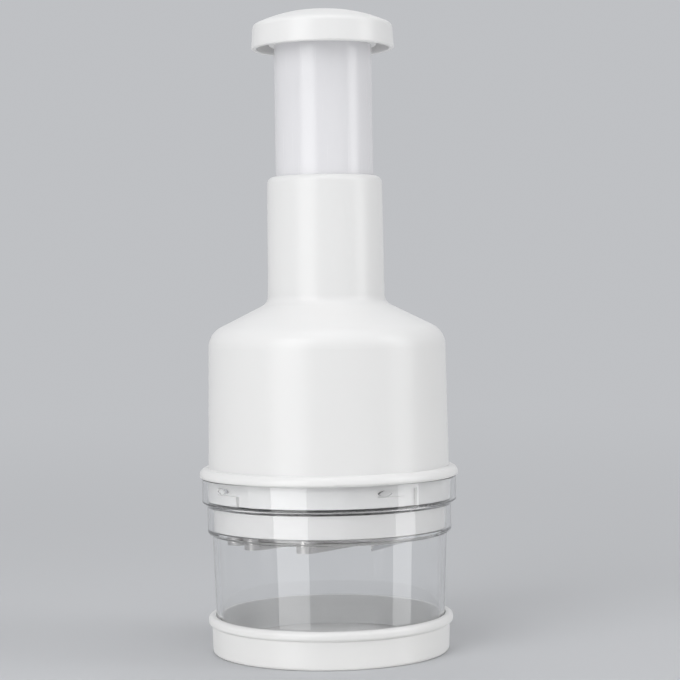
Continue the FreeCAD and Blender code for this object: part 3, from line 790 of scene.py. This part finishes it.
# %% [markdown]
# ## The blade
#
# The tree sweeps the strip's section along the route. Before the sweep it stores the distance along the
# route, so that the rolled lines can follow the bends. The section has five corners: it is a flat bar with
# one side ground to an edge. The lowest part takes the ground finish and the rest the rolled one.

# %% Blade
edge_bevel = 1.8 * mm
edge_land = 0.15 * mm
crease_angle = math.radians(20)


def make_strip_tree():
    """Sweeps a section object along a chain of points, with two finishes."""
    tree, enter, leave = new_tree(
        "bent_strip", "GeometryNodeTree",
        [GEOMETRY, ("Section", "NodeSocketObject", None), ("Ground Height", "NodeSocketFloat", 0.0),
         ("Rolled Finish", "NodeSocketMaterial", None), ("Ground Finish", "NodeSocketMaterial", None)],
        [GEOMETRY[:2]])
    given = enter.outputs
    line = add(tree, "GeometryNodeMeshToCurve", {"Mesh": given["Geometry"]}).outputs[0]
    line = add(tree, "GeometryNodeSetCurveNormal", {"Curve": line}, mode="Z_UP").outputs[0]
    along = add(tree, "GeometryNodeSplineParameter").outputs["Length"]
    line = add(
        tree, "GeometryNodeStoreNamedAttribute", {"Geometry": line, "Name": "along", "Value": along},
        data_type="FLOAT", domain="POINT").outputs[0]
    outline = add(tree, "GeometryNodeObjectInfo", {"Object": given["Section"]}).outputs["Geometry"]
    outline = add(tree, "GeometryNodeMeshToCurve", {"Mesh": outline}).outputs[0]
    strip = add(
        tree, "GeometryNodeCurveToMesh",
        {"Curve": line, "Profile Curve": outline, "Fill Caps": True}).outputs[0]
    edge_angle = add(tree, "GeometryNodeInputMeshEdgeAngle").outputs[0]
    sharp = calc(tree, "GREATER_THAN", edge_angle, crease_angle)
    strip = add(
        tree, "GeometryNodeSetShadeSmooth", {"Geometry": strip, "Selection": sharp, "Shade Smooth": False},
        domain="EDGE").outputs[0]
    strip = add(tree, "GeometryNodeRealizeInstances", {"Geometry": strip}).outputs[0]
    strip = add(
        tree, "GeometryNodeSetMaterial", {"Geometry": strip, "Material": given["Rolled Finish"]}).outputs[0]
    height = split(tree, add(tree, "GeometryNodeInputPosition").outputs[0])["Z"]
    ground = calc(tree, "LESS_THAN", height, given["Ground Height"])
    strip = add(
        tree, "GeometryNodeSetMaterial",
        {"Geometry": strip, "Selection": ground, "Material": given["Ground Finish"]}).outputs[0]
    return finish_tree(tree, leave, {"Geometry": strip})


def blade_section():
    """The strip's five corners. A sweep along the route turns Y downwards, so heights get a minus."""
    half = strip_thickness / 2
    bottom = low("zigzag_blade")
    top = high("zigzag_blade")
    corners = [
        (-half, bottom), (edge_land - half, bottom), (half, bottom + edge_bevel), (half, top), (-half, top)]
    return wire_object("blade_section", [(side, -height, 0.0) for side, height in corners], closed=True)


section = blade_section()
blade = wire_object("blade_strip", [(point.x, point.y, 0.0) for point in route])
grow(blade, make_strip_tree(), {
    "Section": section, "Ground Height": low("zigzag_blade") + edge_bevel,
    "Rolled Finish": finishes["blade_steel"], "Ground Finish": finishes["ground_steel"]})
bpy.data.objects.remove(section)
settle(blade, "blade_set", "blade_steel", "zigzag_blade")

# %% [markdown]
# ## Coils
#
# The stem is lifted by a long coil, and a small one keeps the drive nut in its ratchet. A real compression
# spring has closed ends: its last turn lies flat on the next, so that it stands straight. The tree starts
# from a spiral and moves each point to the height that its turn has, slow in the closed turns and even
# between them. The wire is made a hair thinner than it is, so that closed turns touch without melting
# together.

# %% Coil tree
steps_per_turn = 40
wire_sides = 14
wire_radius_share = 0.495


def make_coil_tree():
    """A round wire on a helix with closed end turns."""
    number = "NodeSocketFloat"
    tree, enter, leave = new_tree(
        "closed_coil", "GeometryNodeTree",
        [GEOMETRY, ("Turns", number, 10.0), ("Closed Turns", number, 1.0), ("Radius", number, 0.01),
         ("Wire", number, 0.001), ("Bottom", number, 0.0), ("Top", number, 0.1),
         ("Finish", "NodeSocketMaterial", None)],
        [GEOMETRY[:2]])
    given = enter.outputs
    wire = given["Wire"]
    spiral = add(
        tree, "GeometryNodeCurveSpiral",
        {"Resolution": steps_per_turn, "Rotations": given["Turns"], "Start Radius": given["Radius"],
         "End Radius": given["Radius"], "Height": 1.0}).outputs[0]
    turn = calc(tree, "MULTIPLY", add(tree, "GeometryNodeSplineParameter").outputs["Factor"], given["Turns"])
    closed = given["Closed Turns"]
    both = calc(tree, "MULTIPLY", closed, 2.0)
    open_turns = calc(tree, "SUBTRACT", given["Turns"], both)
    rise = calc(tree, "SUBTRACT", calc(tree, "SUBTRACT", given["Top"], given["Bottom"]), wire)
    pitch = calc(tree, "DIVIDE", calc(tree, "SUBTRACT", rise, calc(tree, "MULTIPLY", both, wire)), open_turns)
    lower = calc(tree, "MULTIPLY", calc(tree, "MINIMUM", turn, closed), wire)
    passed = calc(tree, "MAXIMUM", calc(tree, "SUBTRACT", turn, closed), 0.0)
    middle = calc(tree, "MULTIPLY", calc(tree, "MINIMUM", passed, open_turns), pitch)
    last = calc(tree, "MAXIMUM", calc(tree, "SUBTRACT", passed, open_turns), 0.0)
    upper = calc(tree, "MULTIPLY", last, wire)
    start = calc(tree, "ADD", given["Bottom"], calc(tree, "MULTIPLY", wire, 0.5))
    height = calc(tree, "ADD", calc(tree, "ADD", start, lower), calc(tree, "ADD", middle, upper))
    flat = split(tree, add(tree, "GeometryNodeInputPosition").outputs[0])
    place = join(tree, X=flat["X"], Y=flat["Y"], Z=height)
    spiral = add(tree, "GeometryNodeSetPosition", {"Geometry": spiral, "Position": place}).outputs[0]
    radius = calc(tree, "MULTIPLY", wire, wire_radius_share)
    ring = add(
        tree, "GeometryNodeCurvePrimitiveCircle", {"Resolution": wire_sides, "Radius": radius}).outputs[0]
    coil = add(
        tree, "GeometryNodeCurveToMesh",
        {"Curve": spiral, "Profile Curve": ring, "Fill Caps": True}).outputs[0]
    coil = add(tree, "GeometryNodeRealizeInstances", {"Geometry": coil}).outputs[0]
    coil = add(tree, "GeometryNodeSetMaterial", {"Geometry": coil, "Material": given["Finish"]}).outputs[0]
    return finish_tree(tree, leave, {"Geometry": coil})


coil_tree = make_coil_tree()
print("coil tree inputs:", [s.name for s in coil_tree.interface.items_tree if s.in_out == "INPUT"])

# %% [markdown]
# ## The two springs
#
# Both springs take their place from the CAD coils that they stand for. When the knob goes down, the long
# spring is squeezed between the plate and the stem's plug. Here it only gets a mesh of its own.

# %% Springs
long_wire = 1.5 * mm
long_turns = 15.0
long_closed_turns = 1.0
small_wire = 0.9 * mm
small_turns = 2.0
small_closed_turns = 0.25


def spring(name, node, wire, turns, closed_turns):
    """A coil in the place of a CAD coil."""
    piece = wire_object(name, [(0.0, 0.0, low(node))])
    grow(piece, coil_tree, {
        "Turns": turns, "Closed Turns": closed_turns, "Radius": reach(node) - wire / 2, "Wire": wire,
        "Bottom": low(node), "Top": high(node), "Finish": finishes["spring_steel"]})
    return piece


lift_spring = spring("lift_spring", "return_spring", long_wire, long_turns, long_closed_turns)
settle(lift_spring, "housing", "spring_steel", "return_spring")
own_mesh(lift_spring)

nut_coil = spring("nut_coil", "nut_spring", small_wire, small_turns, small_closed_turns)
settle(nut_coil, "housing", "spring_steel", "nut_spring")

# %% [markdown]
# ## A cross recess
#
# Every screw here is driven by a cross. Its recess tapers towards the bottom, as the driver's tip does. A
# small solid of that shape is cut out of the head with a boolean.

# %% Cross recess
cross_arm_share = 0.62
cross_half_width_share = 0.13
cross_taper = 0.45
cross_top_share = 1.2
cross_bottom_share = 0.3
head_crease = math.radians(38)


def cross_cutter(head_radius, head_height):
    """A tapered cross that stands in the head."""
    arm = head_radius * cross_arm_share
    half = head_radius * cross_half_width_share
    outline = [
        (arm, -half), (arm, half), (half, half), (half, arm), (-half, arm), (-half, half),
        (-arm, half), (-arm, -half), (-half, -half), (-half, -arm), (half, -arm), (half, -half)]
    count = len(outline)
    top = [(x, y, head_height * cross_top_share) for x, y in outline]
    bottom = [(x * cross_taper, y * cross_taper, head_height * cross_bottom_share) for x, y in outline]
    ends = [tuple(range(count)), tuple(reversed(range(count, 2 * count)))]
    sides = [(i, count + i, count + (i + 1) % count, (i + 1) % count) for i in range(count)]
    mesh = bpy.data.meshes.new("cross")
    mesh.from_pydata(top + bottom, [], ends + sides)
    return new_object("cross", mesh)


def cut_cross(screw, head_radius, head_height):
    """Cuts the recess and gives the screw smooth skin with sharp creases."""
    cutter = cross_cutter(head_radius, head_height)
    cut = screw.modifiers.new("recess", "BOOLEAN")
    cut.operation = "DIFFERENCE"
    cut.object = cutter
    keep_result(screw)
    screw.data.shade_smooth()
    screw.data.set_sharp_from_angle(angle=head_crease)
    bpy.data.objects.remove(cutter)


print("cross recess ready")

# %% [markdown]
# ## Screws
#
# Eight small screws and one larger one hold the mechanism. A screw is turned round its axis, so its mesh is
# built ring by ring. On the shank, the radius of each point follows a triangle wave of its height and its
# angle together, and that is a thread.

# %% Screw mesh
screw_sides = 28
rows_per_pitch = 6
dome_rows = 5
dome_share = 0.3
pitch_share = 0.75
thread_depth_share = 0.16


def screw_rings(head_radius, head_height, shank_radius, length, pitch, thread_depth):
    """Rings from the head's top to the tip, as (radius, height, is on the thread)."""
    dome = head_radius * dome_share
    rings = []
    for row in range(dome_rows + 1):
        turn = math.pi / 2 * row / dome_rows
        radius = head_radius - dome * (1 - math.sin(turn))
        height = head_height - dome * (1 - math.cos(turn))
        rings.append((radius, height, False))
    rings += [(head_radius, 0.0, False), (shank_radius - thread_depth, 0.0, False)]
    rows = int(length / pitch * rows_per_pitch)
    for row in range(1, rows):
        rings.append((shank_radius, -length * row / rows, True))
    rings.append((shank_radius - 2 * thread_depth, -length, False))
    return rings


def screw_object(name, head_radius, head_height, shank_radius, length):
    """A pan-head screw, head up, whose head stands on z = 0."""
    pitch = shank_radius * pitch_share
    depth = shank_radius * thread_depth_share
    rings = screw_rings(head_radius, head_height, shank_radius, length, pitch, depth)
    vertices = []
    for ring_radius, height, threaded in rings:
        for side in range(screw_sides):
            turn = 2 * math.pi * side / screw_sides
            cut = 0.0
            if threaded:
                wave = (height / pitch - side / screw_sides) % 1.0
                cut = depth * abs(2.0 * wave - 1.0)
            radius = ring_radius - cut
            vertices.append((radius * math.cos(turn), radius * math.sin(turn), height))
    faces = [tuple(range(screw_sides))]
    for ring in range(len(rings) - 1):
        above = ring * screw_sides
        below = above + screw_sides
        for side in range(screw_sides):
            ahead = (side + 1) % screw_sides
            faces.append((above + side, below + side, below + ahead, above + ahead))
    tip = (len(rings) - 1) * screw_sides
    faces.append(tuple(tip + side for side in reversed(range(screw_sides))))
    mesh = bpy.data.meshes.new(name)
    mesh.from_pydata(vertices, [], faces)
    made = new_object(name, mesh)
    cut_cross(made, head_radius, head_height)
    return made


small_head_radius = 2.5 * mm
small_head_height = 1.6 * mm
end_head_radius = 4.0 * mm
end_head_height = 2.6 * mm
shank_radius = 1.4 * mm
hub_screw_length = 6.0 * mm
plate_screw_length = 11.0 * mm
end_screw_length = 10.0 * mm
hub_screw = screw_object("hub_screw", small_head_radius, small_head_height, shank_radius, hub_screw_length)
plate_screw = screw_object(
    "plate_screw", small_head_radius, small_head_height, shank_radius, plate_screw_length)
end_screw = screw_object("end_screw", end_head_radius, end_head_height, shank_radius, end_screw_length)
print("screw faces:", [len(screw.data.polygons) for screw in (hub_screw, plate_screw, end_screw)])

# %% [markdown]
# ## Placing the screws
#
# A tree copies one screw onto each point of a chain. Nobody lines up screw heads, so each is turned by a
# random angle from a fixed seed. The plate's screws go in from below, so each of them is tipped over.

# %% Screw sets
def make_screws_tree():
    """One screw on each point, each turned by its own angle, and tipped over where that is asked."""
    tree, enter, leave = new_tree(
        "screws_on_points", "GeometryNodeTree",
        [GEOMETRY, ("Screw", "NodeSocketObject", None), ("Tip Over", "NodeSocketFloat", 0.0),
         ("Seed", "NodeSocketInt", 0), ("Finish", "NodeSocketMaterial", None)],
        [GEOMETRY[:2]])
    given = enter.outputs
    one = add(
        tree, "GeometryNodeObjectInfo", {"Object": given["Screw"], "As Instance": True}).outputs["Geometry"]
    spin = add(tree, "FunctionNodeRandomValue", {"Seed": given["Seed"]}, data_type="FLOAT")
    angle = calc(tree, "MULTIPLY", spin.outputs["Value"], 2 * math.pi)
    turn = join(tree, X=given["Tip Over"], Z=angle)
    placed = add(
        tree, "GeometryNodeInstanceOnPoints",
        {"Points": given["Geometry"], "Instance": one, "Rotation": turn}).outputs[0]
    placed = add(tree, "GeometryNodeRealizeInstances", {"Geometry": placed}).outputs[0]
    placed = add(
        tree, "GeometryNodeSetMaterial", {"Geometry": placed, "Material": given["Finish"]}).outputs[0]
    return finish_tree(tree, leave, {"Geometry": placed})


screws_tree = make_screws_tree()


def on_circle(circle, angles, height):
    """Points on a circle round the axis."""
    return [(circle * math.cos(angle), circle * math.sin(angle), height) for angle in angles]


def screw_set(name, body, node, screw, places, tip_over=0.0):
    """Screws on their places, in the place of a CAD piece."""
    piece = wire_object(name, places)
    grow(piece, screws_tree, {
        "Screw": screw, "Tip Over": tip_over, "Seed": rng_seed, "Finish": finishes["screw_steel"]})
    settle(piece, body, "screw_steel", node)
    bpy.data.objects.remove(screw)


hub_screw_circle = 9.0 * mm
hub_screw_angle = math.radians(56.8)
hub_screw_turn = math.radians(-12.0)
hub_corners = (hub_screw_angle, math.pi - hub_screw_angle, math.pi + hub_screw_angle, -hub_screw_angle)
hub_angles = [corner + (rest_angle + hub_screw_turn) for corner in hub_corners]
hub_places = on_circle(hub_screw_circle, hub_angles, high("hub_screws") - small_head_height)

plate_screw_circle = 33.5 * mm
plate_angles = [math.radians(45 + 90 * quarter) for quarter in range(4)]
plate_places = on_circle(plate_screw_circle, plate_angles, low("plate_screws") + small_head_height)

end_places = [(0.0, 0.0, high("spindle_screw") - end_head_height)]
screw_set("hub_screw_set", "blade_set", "hub_screws", hub_screw, hub_places)
screw_set("plate_screw_set", "housing", "plate_screws", plate_screw, plate_places, math.pi)
screw_set("spindle_end_screw", "blade_set", "spindle_screw", end_screw, end_places)
